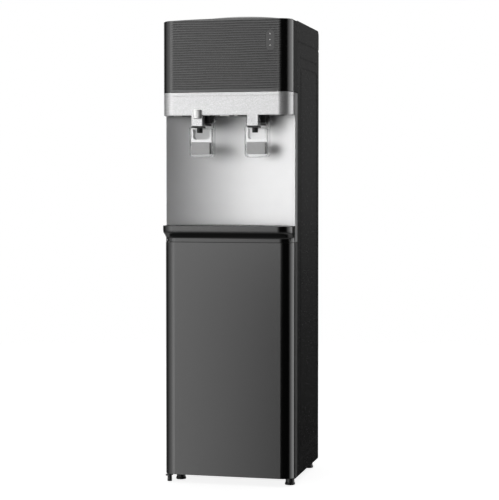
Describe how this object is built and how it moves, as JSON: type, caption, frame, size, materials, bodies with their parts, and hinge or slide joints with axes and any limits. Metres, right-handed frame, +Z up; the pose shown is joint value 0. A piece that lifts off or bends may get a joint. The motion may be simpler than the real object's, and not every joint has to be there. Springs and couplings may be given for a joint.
{
  "type": "bottom load water cooler",
  "caption": "Free-standing bottom load water cooler with ribbed head, two paddle taps, concave alcove, drip tray and a hinged bottle bay door.",
  "frame": {"origin": "on the floor, at the middle of the overall box", "axes": "+Z up, -Y towards the user (front), +X to the viewer's right"},
  "size_m": [0.31, 0.342, 1.1028],
  "materials": {
    "panel_black": "satin powder coat",
    "head_black": "ribbed dark grey moulding",
    "door_black": "satin dark grey moulding",
    "trim_black": "gloss black moulding",
    "grille_black": "fine grained moulding",
    "frame_grey": "fine grained moulding",
    "silver_band": "silver satin moulding",
    "silver_shell": "silver metallic moulding",
    "white_plastic": "smooth moulding",
    "clear_plastic": "clear moulding",
    "lens_white": "translucent",
    "pad_grey": "soft grip",
    "rocker_black": "smooth moulding",
    "zinc_steel": "zinc plated",
    "stainless": "drawn stainless",
    "foam_white": "moulded foam",
    "black_paint": "black enamel",
    "copper": "copper tube",
    "rubber_black": "moulded rubber",
    "silicone": "translucent silicone",
    "board_green": "solder mask"
  },
  "bodies": {
    "cabinet": {"alcove_shell": "silver_shell", "base_pan": "panel_black", "bottle_floor": "frame_grey", "child_lock_spring": "zinc_steel", "cold_foam": "foam_white", "cold_tank": "stainless", "compressor": "black_paint", "condenser": "black_paint", "control_board": "board_green", "dip_tube": "stainless", "dispenser_fascia": "silver_band", "display_board": "board_green", "door_catch": "zinc_steel", "drain_pipe": "rocker_black", "evaporator_coil": "copper", "feet": "grille_black", "front_frame": "frame_grey", "head_cover": "head_black", "heater_fittings": "stainless", "hinge_lower": "zinc_steel", "hinge_upper": "zinc_steel", "hot_jacket": "foam_white", "hot_tank": "stainless", "indicator_lenses": "lens_white", "indicator_window": "trim_black", "lever_pins": "zinc_steel", "lever_springs": "zinc_steel", "mid_shelf": "zinc_steel", "panel_screws": "zinc_steel", "power_inlet": "frame_grey", "probe_cap": "trim_black", "probe_dock": "frame_grey", "pump": "frame_grey", "rear_panel_lower": "panel_black", "rear_panel_upper": "panel_black", "refrigerant_lines": "copper", "rubber_grommets": "rubber_black", "side_panel_left": "panel_black", "side_panel_right": "panel_black", "switch_housing": "frame_grey", "tank_shelf": "zinc_steel", "tap_body_cold": "grille_black", "tap_body_hot": "grille_black", "tap_nozzles": "grille_black", "top_lid": "trim_black", "tray_apron": "trim_black", "water_hoses": "silicone"},
    "door": {"door_panel": "door_black", "door_liner": "frame_grey", "door_magnet": "rubber_black"},
    "hot_lever": {"lever_hot": "clear_plastic", "lever_pad_hot": "pad_grey"},
    "cold_lever": {"lever_cold": "clear_plastic", "lever_pad_cold": "pad_grey"},
    "lock_button": {"child_lock_button": "white_plastic"},
    "tray": {"drip_tray": "trim_black"},
    "grille": {"drip_grille": "grille_black"},
    "heat_rocker": {"rocker_heat": "rocker_black"},
    "cool_rocker": {"rocker_cool": "rocker_black"},
    "drain_plug": {"drain_cap": "rocker_black"}
  },
  "joints": [
    {"name": "door_hinge", "type": "hinge", "parent": "cabinet", "child": "door", "pos_m": [-0.1445, -0.126, 0.3], "axis": [0, 0, -1], "range_deg": [0, 110]},
    {"name": "hot_lever_pivot", "type": "hinge", "parent": "cabinet", "child": "hot_lever", "pos_m": [-0.068, -0.097, 0.849], "axis": [1, 0, 0], "range_deg": [0, 12], "stiffness_Nm_per_rad": 0.6, "springref_deg": -5.73},
    {"name": "cold_lever_pivot", "type": "hinge", "parent": "cabinet", "child": "cold_lever", "pos_m": [0.0645, -0.097, 0.849], "axis": [1, 0, 0], "range_deg": [0, 12], "stiffness_Nm_per_rad": 0.6, "springref_deg": -5.73},
    {"name": "child_lock_push", "type": "slide", "parent": "cabinet", "child": "lock_button", "axis": [0, 1, 0], "range_m": [0, 0.004], "stiffness_N_per_m": 300, "springref_m": -0.002},
    {"name": "tray_slide", "type": "slide", "parent": "cabinet", "child": "tray", "axis": [0, -1, 0], "range_m": [0, 0.12]},
    {"name": "grille_lift", "type": "slide", "parent": "tray", "child": "grille", "axis": [0, 0, 1], "range_m": [0, 0.06]},
    {"name": "heat_rocker_tip", "type": "hinge", "parent": "cabinet", "child": "heat_rocker", "pos_m": [-0.066, 0.141, 0.602], "axis": [1, 0, 0], "range_deg": [0, 14]},
    {"name": "cool_rocker_tip", "type": "hinge", "parent": "cabinet", "child": "cool_rocker", "pos_m": [-0.042, 0.141, 0.602], "axis": [1, 0, 0], "range_deg": [0, 14]},
    {"name": "drain_cap_pull", "type": "slide", "parent": "cabinet", "child": "drain_plug", "axis": [0, 1, 0], "range_m": [0, 0.04]}
  ]
}
